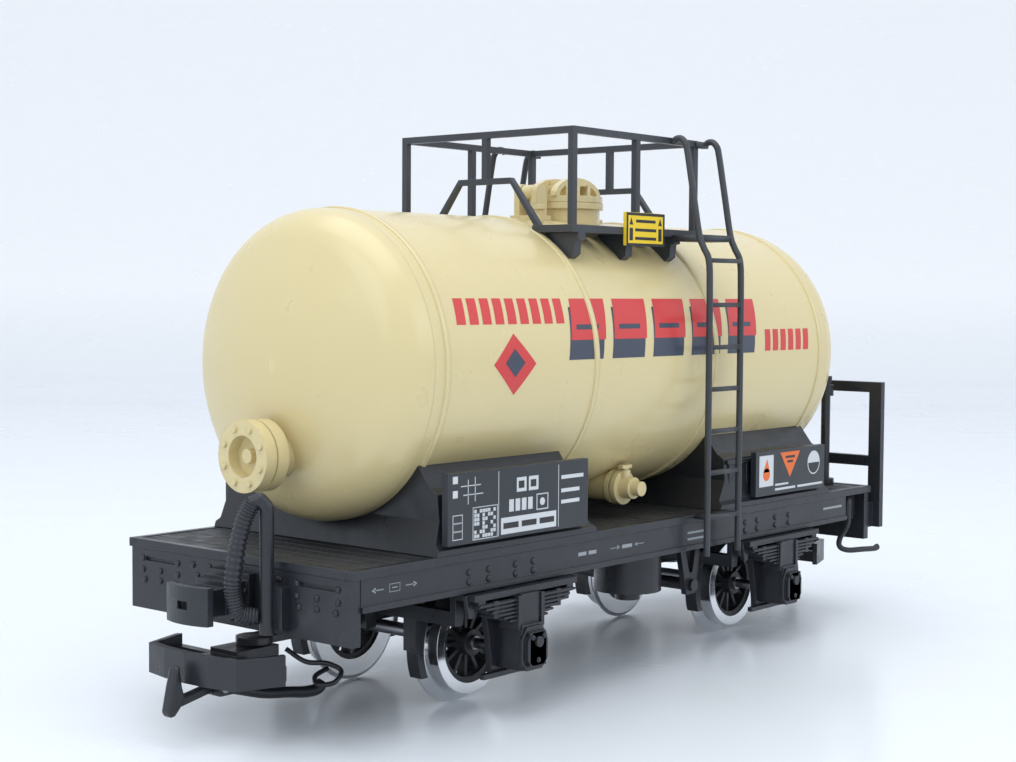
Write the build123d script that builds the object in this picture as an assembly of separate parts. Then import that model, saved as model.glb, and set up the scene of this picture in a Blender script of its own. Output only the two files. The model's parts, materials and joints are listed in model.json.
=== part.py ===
from build123d import *
import math
import os

# Model tank wagon. X runs along the wagon, Y across it, +Z up, Z = 0 on the flange bottoms.
# "near" is the -X end, "far" the +X end with the platform; "right" is -Y and "left" is +Y.

os.makedirs("parts", exist_ok=True)

# ---- driving dimensions (mm) ----
gap = 0.3                    # clearance between separate moving bodies
running = 0.05               # radial running clearance

buffer_face_x = 150.0
deck_half_length = 132.5
deck_half_width = 45.0
deck_top = 47.5
deck_bottom = 45.0
frame_bottom = 38.0          # underside of the inner frame members
headstock_face = 132.0
headstock_back = 129.0
headstock_bottom = 28.0
headstock_half_width = 44.2

axle_x = 68.0
flange_radius = 17.7
tread_radius = 14.9
axle_z = flange_radius
wheel_back = 20.0            # half the back-to-back distance
wheel_face = 27.5
axle_radius = 2.0
journal_radius = 1.5
journal_end = 44.0

tank_radius = 43.5
tank_wall = 1.6
tank_z = 96.8
tank_top = tank_z + tank_radius
barrel_half_length = 101.0
knuckle_radius = 13.0
head_apex = 120.0
seam_positions = (-96.3, -31.5, 31.5, 96.3)
seam_width = 2.0
seam_height = 0.4

flange_z = 73.1
flange_face = 129.5
flange_plate_radius = 9.8

outlet_z = tank_z - tank_radius + 3.3
outlet_spigot_radius = 2.3
valve_stem_y = -30.8

saddle_inner = 32.5
saddle_outer = 101.5

walkway_top = tank_top - 2.9
walkway_thickness = 2.2
walkway_inner = 19.3
walkway_outer = 34.8
gangway_half_length = 32.5
rail_top = walkway_top + 28.9
rail_size = 2.0
arch_top = walkway_top + 14.6
arch_half = 10.5

dome_x = 7.5
dome_radius = 11.3
dome_top = tank_top + 5.7
hinge_x = -10.0
hinge_z = tank_top + 8.7

ladder_xs = (18.2, 36.0)
rung_heights = (46.8, 60.9, 74.0, 87.2, 100.4, 113.7, 127.6)

rigging_x = axle_x - 37.0

coupler_x = 125.4
coupler_pin_radius = 2.0
hook_x = 139.0
hook_z = 13.0
hook_pin_radius = 1.2

brake_column_x = 126.5
brake_column_y = -29.0

brake_pipe_x = -136.0
brake_pipe_y = -17.0
pipe_top_near = 63.6
pipe_top_far = 52.0          # stays below the middle rail of the platform


# ---- helpers ----
def block(x0, x1, y0, y1, z0, z1):
    centre = Pos((x0 + x1) / 2, (y0 + y1) / 2, (z0 + z1) / 2)
    return centre * Box(abs(x1 - x0), abs(y1 - y0), abs(z1 - z0))


def rod_x(radius, x0, x1, y, z):
    return Pos((x0 + x1) / 2, y, z) * Rot(0, 90, 0) * Cylinder(radius, abs(x1 - x0))


def rod_y(radius, y0, y1, x, z):
    return Pos(x, (y0 + y1) / 2, z) * Rot(90, 0, 0) * Cylinder(radius, abs(y1 - y0))


def rod_z(radius, z0, z1, x, y):
    return Pos(x, y, (z0 + z1) / 2) * Cylinder(radius, abs(z1 - z0))


def prism_x(points, x0, x1):
    face = make_face(Polyline(*[(x0, y, z) for y, z in points], close=True))
    return extrude(face, amount=x1 - x0, dir=(1, 0, 0))


def prism_y(points, y0, y1):
    face = make_face(Polyline(*[(x, y0, z) for x, z in points], close=True))
    return extrude(face, amount=y1 - y0, dir=(0, 1, 0))


def prism_z(points, z0, z1):
    face = make_face(Polyline(*[(x, y, z0) for x, y in points], close=True))
    return extrude(face, amount=z1 - z0, dir=(0, 0, 1))


def union(shapes):
    shapes = list(shapes)
    whole = shapes[0]
    for shape in shapes[1:]:
        whole = whole + shape
    return whole


def turned(shape):
    """Half turn about the vertical centre line."""
    if isinstance(shape, list):
        return [turned(item) for item in shape]
    return Rot(0, 0, 180) * shape


def across(shape):
    """Mirror image on the other side of the wagon."""
    return mirror(shape, about=Plane.XZ)


def save(name, shape):
    """Write one node; a list is a group of separate solids."""
    solids = []
    for item in shape if isinstance(shape, list) else [shape]:
        solids.extend(item.solids())
    result = solids[0] if len(solids) == 1 else Compound(children=list(solids))
    result.label = name
    export_step(result, "parts/" + name + ".step")


def save_ends(name, near_shape):
    """One piece at each end, related by a half turn."""
    save(name + "_near", near_shape)
    save(name + "_far", turned(near_shape))


# ---- underframe ----
def deck():
    plate = block(-deck_half_length, deck_half_length, -deck_half_width, deck_half_width,
                  deck_bottom, deck_top)
    column_hole = rod_z(1.7, deck_bottom - 1, deck_top + 1, brake_column_x, brake_column_y)
    return plate - column_hole


def solebar():
    """Channel with a thin bottom flange on the right side."""
    x0 = -headstock_back
    x1 = 115.0
    web = block(x0, x1, -44.4, -42.0, 36.5, deck_bottom)
    lip = block(x0, x1, -45.0, -44.4, 36.5, 38.0)
    return web + lip


def headstock(sign):
    body = block(sign * headstock_back, sign * headstock_face, -headstock_half_width,
                 headstock_half_width, headstock_bottom, deck_bottom)
    slots = []
    for side in (-1, 1):
        slots.append(block(sign * 131.2, sign * 133, side * 25, side * 38, 41.6, 42.8))
    return body - slots


def headstock_rivets(sign):
    rivets = []
    for side in (-1, 1):
        for y in (26.5, 32.0, 37.5):
            for z in (39.5, 36.5, 33.5):
                rivets.append(rod_x(0.75, sign * 132, sign * 132.6, side * y, z))
    return rivets


def solebar_rivets():
    rivets = []
    for x in (-88.4, -80.3, -69.0, -61.3, 48.4, 55.8, 67.0, 75.6):
        for z in (42.0, 39.4):
            rivets.append(rod_y(0.8, -45.1, -44.4, x, z))
    return rivets + [across(rivet) for rivet in rivets]


def far_sill():
    """Short recessed sill under the platform overhang."""
    return block(115.0, headstock_back, -40.5, -38.5, 36.5, deck_bottom)


def step():
    strap = block(120.5, 123.5, -42.5, -40.5, 33.0, deck_bottom)
    slope = prism_x([(-42.5, 35.5), (-40.5, 35.5), (-37.0, 28.0), (-37.0, 23.0), (-39.0, 23.0),
                     (-39.0, 28.0)], 120.5, 123.5)
    tread = block(120.5, 138.0, -46.5, -39.0, 23.0, 24.6)
    return strap + slope + tread


def cross_bearer(x, side):
    y_inner = side * 9.0
    y_outer = side * 42.0
    return block(x - 1.5, x + 1.5, y_inner, y_outer, frame_bottom, deck_bottom)


def buffer():
    shank = rod_x(5.0, -148.0, -headstock_face, 0, 36.0)
    base = block(-135.0, -headstock_face, -8.0, 8.0, 29.0, 43.0)
    face = block(-buffer_face_x, -148.0, -8.25, 8.25, 31.0, 41.0)
    slot = block(-151, -149.0, -1.75, 1.75, 35.0, 37.0)
    return shank + base + face - slot


def brake_pipe(top):
    """Air pipe with its gooseneck, outside the headstock."""
    x = brake_pipe_x
    y = brake_pipe_y
    boss = block(x + 1.0, -headstock_face, y - 4.5, y + 2.5, 30.0, 41.0)
    path = Polyline((x, y, 28.6), (x, y, top - 2.0), (x - 1.2, y + 1.2, top),
                    (x - 2.8, y + 2.8, top - 1.0))
    section = Plane(origin=(x, y, 28.6), z_dir=(0, 0, 1)) * Circle(1.9)
    pipe = sweep(section, path=path, transition=Transition.ROUND)
    return boss + pipe


def brake_hose(top):
    """Flexible hose moulded in its hanging shape between gooseneck and clip."""
    x = brake_pipe_x
    y = brake_pipe_y
    path = Spline((x - 2.9, y + 2.9, top - 1.1), (x - 5.8, y + 4.4, top - 11.0),
                  (x - 7.0, y + 5.4, (top + 22.0) / 2), (x - 5.6, y + 4.6, 34.0),
                  (x - 2.4, y + 2.2, 33.2))
    section = Plane(origin=path @ 0, z_dir=path % 0) * Circle(2.0)
    hose = sweep(section, path=path)
    clip = block(x - 2.9, x + 0.6, y + 0.6, y + 3.6, 31.4, 35.0)
    return hose + clip - brake_pipe(top)


# ---- tank ----
def cradle_cut(x0, x1):
    return rod_x(tank_radius, x0, x1, 0, tank_z)


def saddle():
    half = [(45.0, deck_top), (45.0, 49.0), (43.3, 50.2), (42.0, 63.5), (39.5, 65.0), (35.0, 70.8),
            (30.0, 70.8)]
    points = half + [(-y, z) for y, z in reversed(half)]
    body = prism_x(points, -saddle_outer, -saddle_inner)
    profile = [(-saddle_outer, deck_top), (-saddle_inner, deck_top), (-saddle_inner - 6, 56.5),
               (-saddle_inner - 6, 71.0), (-saddle_outer + 3, 71.0), (-saddle_outer + 3, 56.5)]
    sides = prism_y(profile, -46.0, 46.0)
    seam_clearance = Pos(-96.3, 0, tank_z) * Rot(0, 90, 0) * Cylinder(
        tank_radius + seam_height, seam_width)
    return (body & sides) - cradle_cut(-130, 0) - seam_clearance


def barrel():
    tube = rod_x(tank_radius, -barrel_half_length, barrel_half_length, 0, tank_z)
    for x in seam_positions:
        tube = tube + rod_x(tank_radius + seam_height, x - seam_width / 2, x + seam_width / 2,
                            0, tank_z)
    bore = rod_x(tank_radius - tank_wall, -barrel_half_length - 1, barrel_half_length + 1,
                 0, tank_z)
    return tube - bore


def head():
    """Dished end: a knuckle blended into a shallow crown, revolved about the tank axis."""
    depth = head_apex - barrel_half_length
    rise = tank_radius - knuckle_radius
    crown_radius = (depth ** 2 + rise ** 2 - knuckle_radius ** 2) / (2 * (depth - knuckle_radius))
    crown_x = crown_radius - head_apex
    slope = math.atan2(barrel_half_length + crown_x, rise)

    def on_knuckle(angle):
        return (-barrel_half_length - knuckle_radius * math.sin(angle), 0,
                tank_z + rise + knuckle_radius * math.cos(angle))

    def on_crown(angle):
        return (crown_x - crown_radius * math.sin(angle), 0,
                tank_z + crown_radius * math.cos(angle))

    apex = (-head_apex, 0, tank_z)
    base = (-barrel_half_length, 0, tank_z)
    knuckle = ThreePointArc(on_knuckle(0), on_knuckle(slope / 2), on_knuckle(slope))
    crown = ThreePointArc(on_crown(slope), on_crown((slope + math.pi / 2) / 2), apex)
    face = make_face(Line(base, on_knuckle(0)).edges() + knuckle.edges() + crown.edges()
                     + Line(apex, base).edges())
    solid = revolve(face, axis=Axis((0, 0, tank_z), (1, 0, 0)), revolution_arc=360)
    socket = rod_x(6.4, -head_apex - 1, -barrel_half_length - 2.0, 0, flange_z)
    return solid - socket


def end_flange():
    """Bolted blank flange low on the tank end."""
    neck = rod_x(6.4, -flange_face + 8, -barrel_half_length - 2.0, 0, flange_z)
    plate = rod_x(flange_plate_radius, -flange_face, -flange_face + 8, 0, flange_z)
    groove = rod_x(flange_plate_radius + 1, -flange_face + 3.6, -flange_face + 4.1, 0, flange_z)
    groove = groove - rod_x(flange_plate_radius - 0.5, -140, -100, 0, flange_z)
    recess = rod_x(5.6, -flange_face - 1, -flange_face + 3.5, 0, flange_z)
    boss = rod_x(2.0, -flange_face + 1.5, -flange_face + 3.5, 0, flange_z)
    body = neck + plate - groove - recess + boss
    for i in range(8):
        angle = math.radians(22.5 + 45 * i)
        y = 7.7 * math.cos(angle)
        z = flange_z + 7.7 * math.sin(angle)
        body = body + rod_x(0.9, -flange_face - 0.7, -flange_face + 0.1, y, z)
    return body


def outlet_valve():
    """Discharge pipe with its flanges and spigot, right side."""
    z = outlet_z
    pipe = rod_y(4.5, -27.0, -14.0, 0, z) - rod_x(tank_radius, -20, 20, 0, tank_z)
    flanges = rod_y(5.4, -28.2, -26.4, 0, z) + rod_y(5.4, -30.6, -28.8, 0, z)
    middle = rod_y(3.4, -34.4, -26.0, 0, z)
    spigot = rod_y(outlet_spigot_radius, -37.4, -34.0, 0, z)
    bonnet = rod_z(1.7, z, z + 5.5, 0, valve_stem_y)
    return pipe + flanges + middle + spigot + bonnet


def valve_handle():
    """T handle on top of the valve bonnet."""
    z = outlet_z + 5.6
    stem = rod_z(1.2, z, z + 0.5, 0, valve_stem_y)
    bar = block(-2.4, 2.4, valve_stem_y - 0.9, valve_stem_y + 0.9, z + 0.4, z + 1.5)
    return stem + bar


def dome_neck():
    neck = rod_z(dome_radius, tank_top - 10, dome_top, dome_x, 0)
    collar = rod_z(dome_radius + 1.2, dome_top - 2.0, dome_top, dome_x, 0)
    return (neck + collar) - rod_x(tank_radius, -40, 40, 0, tank_z)


def hinge_tower():
    """Upright bracket that carries the lid pin."""
    z0 = tank_top - 1.5
    cheeks = []
    for y0, y1 in ((-4.6, -2.4), (2.4, 4.6)):
        cheek = block(hinge_x - 2.6, hinge_x + 2.6, y0, y1, z0, hinge_z)
        cheek = cheek + rod_y(2.6, y0, y1, hinge_x, hinge_z)
        cheeks.append(cheek)
    foot = block(hinge_x - 3.6, hinge_x + 3.6, -5.4, 5.4, z0, tank_top + 1.3)
    pin = rod_y(1.1, -4.6, 4.6, hinge_x, hinge_z)
    return union(cheeks + [foot, pin]) - rod_x(tank_radius, -40, 40, 0, tank_z)


def bow_outline(reach, rise, x_mid, z_base, thickness):
    """Arched strip in XZ, from one side of the lid to the other."""
    outer = []
    inner = []
    for i in range(13):
        angle = math.pi * i / 12
        outer.append((x_mid - reach * math.cos(angle), z_base + rise * math.sin(angle)))
        inner.append((x_mid - (reach - thickness) * math.cos(angle),
                      z_base + (rise - thickness) * math.sin(angle)))
    return outer + inner[::-1]


def hatch_lid():
    """Round lid with the arched clamp that turns on the tower pin."""
    lid_radius = dome_radius + 0.9
    lid_top = dome_top + 2.2
    lid = rod_z(lid_radius, dome_top + 0.1, lid_top, dome_x, 0)
    outline = bow_outline(lid_radius - 0.4, 6.2, dome_x, lid_top - 0.2, 1.8)
    arches = [prism_y(outline, y - 1.2, y + 1.2) for y in (-4.4, 4.4)]
    ribs = [block(x - 0.8, x + 0.8, -5.6, 5.6, lid_top - 0.4, lid_top + 3.6)
            for x in (dome_x - 5.5, dome_x, dome_x + 5.5)]
    crown = block(dome_x - 4.0, dome_x + 4.0, -5.6, 5.6, lid_top + 3.4, lid_top + 5.2)
    arm = block(hinge_x, dome_x - lid_radius + 3.0, -2.1, 2.1, lid_top - 1.2, hinge_z + 1.4)
    arm = arm + rod_y(2.3, -2.1, 2.1, hinge_x, hinge_z)
    eye = rod_y(1.1 + running, -7, 7, hinge_x, hinge_z)
    return union([lid, crown, arm] + ribs + arches) - eye


def hatch_latch():
    """Catch post beside the dome."""
    x0 = dome_x + dome_radius + 1.3
    z0 = tank_top - 1.5
    post = block(x0, x0 + 2.6, -2.6, 2.6, z0, dome_top + 1.4)
    toe = block(x0, x0 + 4.2, -2.6, 2.6, z0, tank_top + 1.1)
    return (post + toe) - rod_x(tank_radius, -40, 40, 0, tank_z)


def relief_valve():
    body = rod_z(1.7, tank_top - 5, tank_top + 3.7, -17.0, -9.0)
    knob = rod_z(2.6, tank_top + 2.7, tank_top + 4.3, -17.0, -9.0)
    return body + knob - rod_x(tank_radius, -40, 40, 0, tank_z)


# ---- gangway, right side ----
def walkway():
    z0 = walkway_top - walkway_thickness
    plate = block(-gangway_half_length, gangway_half_length, -walkway_outer, -walkway_inner,
                  z0, walkway_top)
    slots = []
    for i in range(7):
        x = -27.0 + 9.0 * i
        slots.append(block(x - 1.2, x + 1.2, -31.5, -22.5, z0 - 1, walkway_top + 1))
    cutter = rod_x(tank_radius + seam_height, -60, 60, 0, tank_z)
    return plate - slots - cutter


def walkway_bracket(x):
    """Short leg that carries the walkway on the tank shell."""
    z0 = walkway_top - walkway_thickness
    web = prism_x([(-22.0, z0), (-walkway_outer, z0), (-walkway_outer, z0 - 2.2),
                   (-33.4, z0 - 2.6), (-33.0, z0 - 6.6), (-29.0, z0 - 9.0),
                   (-26.0, z0 - 6.0)], x - 1.6, x + 1.6)
    return web - rod_x(tank_radius, -60, 60, 0, tank_z)


def side_rail():
    """Handrail along the right walkway with its posts."""
    y0 = -walkway_outer
    y1 = -walkway_outer + rail_size
    underside = rail_top - rail_size
    solids = [block(-gangway_half_length, gangway_half_length, y0, y1, underside, rail_top)]
    for x in (-31.5, 0.0, 31.5):
        solids.append(block(x - 1.0, x + 1.0, y0, y1, walkway_top, underside))
    return solids


def end_rail():
    """Cross rail with the raised arch between the two walkways, near end."""
    x0 = -gangway_half_length
    x1 = x0 + rail_size
    y_rail = walkway_outer - rail_size
    underside = rail_top - rail_size
    solids = [block(x0, x1, -y_rail, y_rail, underside, rail_top)]
    solids.append(block(x0, x1, -1.0, 1.0, arch_top, underside))
    solids.append(block(x0, x1, -arch_half, arch_half, arch_top - 1.8, arch_top))
    for side in (-1, 1):
        leg = [(side * arch_half, arch_top), (side * 22.0, walkway_top),
               (side * 19.8, walkway_top), (side * arch_half, arch_top - 1.8)]
        solids.append(prism_x(leg, x0, x1))
    return solids


def ladder_stile(x):
    """One stile in straight lengths, bent over at the top towards the handrail."""
    z = walkway_top
    stations = [((-50.4, 34.5), (-48.6, 34.5)), ((-50.4, z - 9.0), (-48.5, z - 9.8)),
                ((-46.2, z - 4.2), (-44.6, z - 5.4)), ((-40.4, z + 28.2), (-38.8, z + 26.5))]
    solids = []
    for (front0, back0), (front1, back1) in zip(stations, stations[1:]):
        solids.append(prism_x([front0, front1, back1, back0], x - 1.0, x + 1.0))
    tip = [(-40.4, z + 28.2), (-36.4, z + 29.8), (-34.8, z + 29.8), (-34.8, z + 27.0),
           (-38.8, z + 26.5)]
    solids.append(prism_x(tip, x - 1.0, x + 1.0))
    return solids


def ladder():
    """Stiles, rungs and the landing beside the walkway."""
    x0 = ladder_xs[0] + 1.0
    x1 = ladder_xs[1] - 1.0
    solids = ladder_stile(ladder_xs[0]) + ladder_stile(ladder_xs[1])
    for z in rung_heights:
        inner = -deck_half_width if z == rung_heights[0] else -48.6
        solids.append(block(x0, x1, -50.2, inner, z - 0.9, z + 0.9))
    solids.append(block(x0, x1, -44.6, -walkway_outer, walkway_top - 2.8, walkway_top - 0.8))
    return solids


def gangway_plate():
    return block(-7.5, 12.5, -36.0, -walkway_outer, walkway_top - 5.6, walkway_top + 4.6)


def board_long():
    return block(-99.0, -39.0, -46.3, -44.2, 50.2, 69.5)


def board_short():
    return block(51.6, 96.0, -46.3, -44.2, 50.2, 65.0)


def board_clips(x_list, z0, z1):
    """Short standoffs between a sign board and the saddle."""
    return [block(x - 3.0, x + 3.0, -44.2, -40.0, z0, z1) for x in x_list]


# ---- platform end ----
def platform_railing():
    """Uprights on brackets, with the rail lengths fitted between them."""
    x0 = 135.4
    x1 = 138.0
    solids = []
    for z0, z1 in ((81.4, 85.2), (54.2, 58.0)):
        solids.append(block(x0, x1, -22.0, 22.0, z0, z1))
        for side in (-1, 1):
            solids.append(block(x0, x1, side * 24.4, side * 42.0, z0, z1))
    for side in (-1, 1):
        solids.append(block(x0, x1, side * 42.0, side * 46.9, 32.0, 85.2))
        solids.append(block(x0, x1, side * 22.0, side * 24.4, 32.0, 85.2))
        solids.append(block(headstock_face, x0, side * 42.0, side * 44.0, 32.0, 41.0))
        solids.append(block(headstock_face, x0, side * 22.0, side * 24.4, 32.0, 41.0))
    return solids


def handbrake_column():
    x = brake_column_x
    column = rod_z(1.6, 40.0, 84.0, x, brake_column_y)
    foot = rod_z(3.4, deck_top, 49.5, x, brake_column_y)
    head = rod_z(2.8, 80.0, 84.0, x, brake_column_y)
    return column + foot + head - rod_z(1.0 + running, 78.0, 85.0, x, brake_column_y)


def handbrake_crank():
    x = brake_column_x
    y = brake_column_y
    spindle = rod_z(1.0, 78.5, 86.0, x, y)
    hub = rod_z(2.2, 84.3, 87.2, x, y)
    arm = block(x - 1.0, x + 1.0, y, y + 7.5, 85.6, 87.2)
    grip = rod_z(1.2, 85.6, 92.5, x, y + 7.5)
    return spindle + hub + arm + grip


# ---- brake gear under the floor ----
def brake_cylinder():
    body = rod_z(10.8, 22.5, 36.0, 10.3, -24.6) + rod_z(4.0, 19.5, 22.5, 10.3, -24.6)
    lid = rod_z(11.6, 34.0, 36.0, 10.3, -24.6)
    hanger = block(6.3, 14.3, -29.0, -20.0, 36.0, deck_bottom)
    return body + lid + hanger


def brake_hanger():
    """V hanger carrying the cross shaft, right side."""
    x = rigging_x
    outer = [(x - 7.0, frame_bottom), (x + 6.0, frame_bottom), (x + 2.4, 19.5), (x - 2.4, 19.5)]
    window = [(x - 3.6, 35.5), (x + 2.8, 35.5), (x + 0.9, 26.5), (x - 0.9, 26.5)]
    plate = prism_y(outer, -35.0, -33.0) - prism_y(window, -36.0, -32.0)
    foot = block(x - 7.0, x + 6.0, -35.0, -33.0, frame_bottom, deck_bottom)
    return plate + foot - rod_y(2.0, -36, -32, x, 22.5)


def brake_shaft():
    shaft = rod_y(2.0, -36.5, 36.5, rigging_x, 22.5)
    lever = block(rigging_x - 1.4, rigging_x + 1.4, -2.0, 2.0, 22.5, 31.0)
    return shaft + lever


# ---- steering truck, near end ----
def truck_frame():
    cx = -axle_x
    spine = block(cx - 22, cx + 22, -9.0, 9.0, 24.5, frame_bottom - gap)
    shapes = [spine]
    for x in (cx - 20.5, cx + 20.5):
        shapes.append(block(x - 1.5, x + 1.5, -39.0, 39.0, 27.0, 31.0))
    shapes.append(block(-coupler_x, cx - 22, -4.0, 4.0, 22.6, 24.5))
    shapes.append(block(-118.0, cx - 22, -1.2, 1.2, 24.5, 30.0))
    shapes.append(block(cx - 24, cx - 20, -9.0, 9.0, 22.6, 30.0))
    shapes.append(rod_z(5.0, 22.6, 24.5, -coupler_x, 0))
    for side in (-1, 1):
        half = [(22, 36.1), (22, 27.0), (19, 27.0), (18, 32.6), (10, 31.0), (8, 22.0), (6.6, 11.0)]
        outline = [(cx + x, z) for x, z in half] + [(cx - x, z) for x, z in reversed(half)]
        shapes.append(prism_y(outline, side * 39.0, side * 41.0))
        shapes.append(block(cx - 22, cx + 22, side * 41.0, side * 48.0, 34.4, 36.1))
        shapes.append(block(cx - 12, cx + 12, side * 41.0, side * 42.6, 11.0, 12.4))
    frame = union(shapes)
    for side in (-1, 1):
        frame = frame - block(cx - 4.6, cx + 4.6, side * 37, side * 42, 13.4, 26.0)
        frame = frame - rod_y(journal_radius + 0.6, side * 38, side * 42, cx, axle_z)
    king_pin = rod_z(2.2 + running, 20.0, 40.0, cx, 0)
    coupling_pin = rod_z(coupler_pin_radius, 20.0, 26.0, -coupler_x, 0)
    return frame - king_pin - coupling_pin


def axle_box(side):
    cx = -axle_x
    body = block(cx - 4.6, cx + 4.6, side * 39.0, side * 50.0, 13.4, 26.0)
    nose = block(cx - 3.4, cx + 3.4, side * 50.0, side * 52.0, 14.6, 24.0)
    bolt = rod_y(1.5, side * 52.0, side * 52.7, cx, 21.3)
    bore = rod_y(journal_radius + running, side * 38.0, side * (journal_end + 0.4), cx, axle_z)
    return body + nose + bolt - bore


def leaf_spring(side):
    cx = -axle_x
    shapes = []
    for i in range(5):
        half = 20.0 - 2.6 * i
        shapes.append(block(cx - half, cx + half, side * 43.0, side * 48.0,
                            32.4 - 1.1 * i, 33.5 - 1.1 * i))
    shapes.append(block(cx - 3.8, cx + 3.8, side * 42.4, side * 49.0, 26.0, 34.4))
    for end in (-1, 1):
        x = cx + end * 19.0
        shapes.append(block(x - 1.4, x + 1.4, side * 43.0, side * 48.0, 32.4, 34.4))
    return union(shapes)


def brake_shoe(end, side):
    """Block hung from the truck cross member, facing the tread."""
    cx = -axle_x
    y0 = side * 21.6
    y1 = side * 26.0
    ring = rod_y(flange_radius + 3.0, y0, y1, cx, axle_z)
    ring = ring - rod_y(flange_radius + 0.6, y0 - 1, y0 + side * 6, cx, axle_z)
    ring = ring - rod_y(flange_radius + 0.6, side * 20, side * 28, cx, axle_z)
    window = block(cx + end * 15.0, cx + end * 22.0, side * 21, side * 27, 10.0, 27.0)
    hanger = block(cx + end * 19.4, cx + end * 22.0, y0, y1, 18.0, 27.0)
    return (ring & window) + hanger


def king_pin():
    """Screw through the truck spine into the floor, with its head below."""
    cx = -axle_x
    return rod_z(2.2, 24.2, frame_bottom, cx, 0) + rod_z(4.2, 22.4, 24.2, cx, 0)


def coupling_pin():
    """Pin fixed in the truck arm; the coupler turns on it."""
    shank = rod_z(coupler_pin_radius, 16.2, 24.5, -coupler_x, 0)
    return shank + rod_z(3.4, 14.6, 16.2, -coupler_x, 0)


# ---- wheelset, near end ----
def axle():
    cx = -axle_x
    return rod_y(axle_radius, -29.0, 29.0, cx, axle_z) + rod_y(
        journal_radius, -journal_end, journal_end, cx, axle_z)


def tyre(side):
    """Metal tyre with a coned tread and an inner flange."""
    cx = -axle_x
    inner = 11.6
    profile = [(inner, wheel_back), (16.6, wheel_back), (flange_radius, wheel_back + 0.6),
               (flange_radius, wheel_back + 1.0), (15.6, wheel_back + 2.4),
               (tread_radius, wheel_back + 3.0), (tread_radius - 0.3, wheel_face),
               (inner, wheel_face)]
    points = [(cx, side * y, axle_z + r) for r, y in profile]
    face = make_face(Polyline(*points, close=True))
    return revolve(face, axis=Axis((cx, 0, axle_z), (0, 1, 0)), revolution_arc=360)


def wheel_centre(side):
    """Spoked centre pressed into the tyre."""
    cx = -axle_x
    y0 = side * (wheel_back + 0.8)
    y1 = side * (wheel_face - 0.8)
    rim = rod_y(11.6, y0, y1, cx, axle_z) - rod_y(10.0, y0 - 5, y0 + 12, cx, axle_z) - rod_y(
        10.0, y0 - 12, y0 + 5, cx, axle_z)
    hub = rod_y(3.8, y0, side * (wheel_face + 0.6), cx, axle_z)
    shapes = [rim, hub]
    mid = side * (wheel_back + wheel_face) / 2
    for i in range(12):
        spoke = Pos(7.0, 0, 0) * Box(7.2, 3.0, 1.1)
        shapes.append(Pos(cx, mid, axle_z) * Rot(0, 30 * i, 0) * spoke)
    bore = rod_y(axle_radius, -60, 60, cx, axle_z)
    return union(shapes) - bore


# ---- coupler, near end ----
def coupler_shank():
    body = block(-136.0, -121.5, -5.5, 5.5, 16.5, 22.3)
    body = body + block(-139.6, -136.0, -5.5, 5.5, 15.5, 21.0)
    bore = rod_z(coupler_pin_radius + running, 10.0, 30.0, -coupler_x, 0)
    hook_room = block(-143.0, -130.0, -1.6, 1.6, 10.0, 23.0)
    ears = block(-141.0, -133.5, -4.5, 4.5, 11.2, 16.5) - hook_room
    return body + ears - bore - rod_y(hook_pin_radius, -6, 6, -hook_x, hook_z)


def coupler_bow():
    """Flared front plate with swept wings, tied to the shank by a cross bar."""
    outline = [(-147.0, -17.5), (-148.6, -9.0), (-149.2, 0.0), (-148.6, 9.0), (-147.0, 17.5),
               (-145.2, 16.6), (-146.6, 9.0), (-147.0, 0.0), (-146.6, -9.0), (-145.2, -16.6)]
    shapes = [prism_z(outline, 15.5, 23.5)]
    for side in (-1, 1):
        wing = [(-147.0, side * 17.5), (-134.0, side * 22.0), (-133.4, side * 20.4),
                (-145.2, side * 16.6)]
        shapes.append(prism_z(wing, 15.5, 23.5))
        shapes.append(block(-135.6, -133.0, side * 5.5, side * 21.2, 16.5, 20.5))
    return union(shapes)


def hook_pin():
    return rod_y(hook_pin_radius, -4.5, 4.5, -hook_x, hook_z)


def coupler_hook():
    """Upright blade in front of the bow with a tail for uncoupling."""
    points = [(-150.0, 9.6), (-155.8, 20.6), (-154.6, 21.4), (-151.6, 19.6), (-150.0, 14.4),
              (-144.0, 14.6), (-137.0, 14.9), (-132.0, 12.6), (-116.0, 8.8), (-101.0, 8.8),
              (-99.0, 5.2), (-104.0, 4.6), (-118.0, 5.0), (-136.5, 10.6), (-143.0, 10.4)]
    blade = prism_y(points, -1.3, 1.3)
    return blade - rod_y(hook_pin_radius + running, -3, 3, -hook_x, hook_z)


# ---- write the pieces ----
save("deck", deck())
save("solebar_right", solebar())
save("solebar_left", across(solebar()))
save("headstock_near", headstock(-1))
save("headstock_far", headstock(1))
save("frame_rivets", headstock_rivets(-1) + headstock_rivets(1) + solebar_rivets())
save("steps", [step(), across(step())])
save("centre_sill", block(-headstock_back, headstock_back, -9.0, 9.0, frame_bottom, deck_bottom))
bearers = [cross_bearer(x, side) for x in (-115.0, -42.0, 42.0, 113.0) for side in (-1, 1)]
save("cross_bearers", bearers + [far_sill(), across(far_sill())])
save("buffers", [buffer(), turned(buffer())])
save("brake_pipes", [brake_pipe(pipe_top_near), turned(brake_pipe(pipe_top_far))])
save("brake_hoses", [brake_hose(pipe_top_near), turned(brake_hose(pipe_top_far))])
save("brake_cylinder", brake_cylinder())
save("brake_rigging", [brake_hanger(), across(brake_hanger()), brake_shaft()])
save("king_pins", [king_pin(), turned(king_pin())])

clips = board_clips((-85.0, -53.0), 52.0, 58.0) + board_clips((62.0, 86.0), 52.0, 58.0)
clips = clips + [turned(clip) for clip in clips]
near_clips = [clip - saddle() for clip in clips if clip.center().X < 0]
near_saddle = union([saddle()] + near_clips)
save_ends("saddle", near_saddle)
save("sign_boards_long", [board_long(), turned(board_long())])
save("sign_boards_short", [board_short(), turned(board_short())])

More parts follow.
